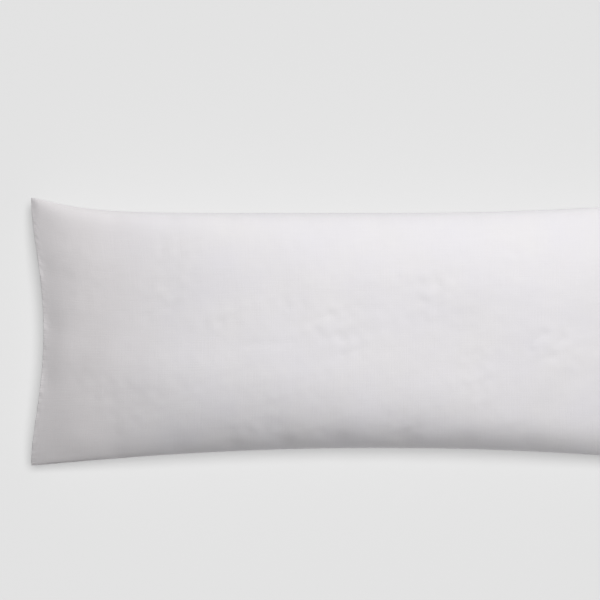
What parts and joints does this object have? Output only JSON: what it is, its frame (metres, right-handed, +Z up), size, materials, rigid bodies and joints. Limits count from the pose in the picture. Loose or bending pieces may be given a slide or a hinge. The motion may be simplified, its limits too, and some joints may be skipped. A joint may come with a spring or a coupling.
{
  "type": "lumbar pillow insert",
  "caption": "Long rectangular pillow insert for the lower back: a sewn cloth cover stuffed taut, with a raised crown, drawn-in sides and pointed corners, lying on its back.",
  "frame": {"origin": "on the surface that the pillow lies on, under the middle of its bounding box", "axes": "+X along the length, +Y across the width, +Z up out of the face that shows"},
  "size_m": [0.884, 0.34, 0.1267],
  "materials": {
    "white_cotton": "plain woven white cotton, matt with a faint sheen"
  },
  "bodies": {
    "root": {"pillow": "white_cotton"}
  },
  "joints": []
}
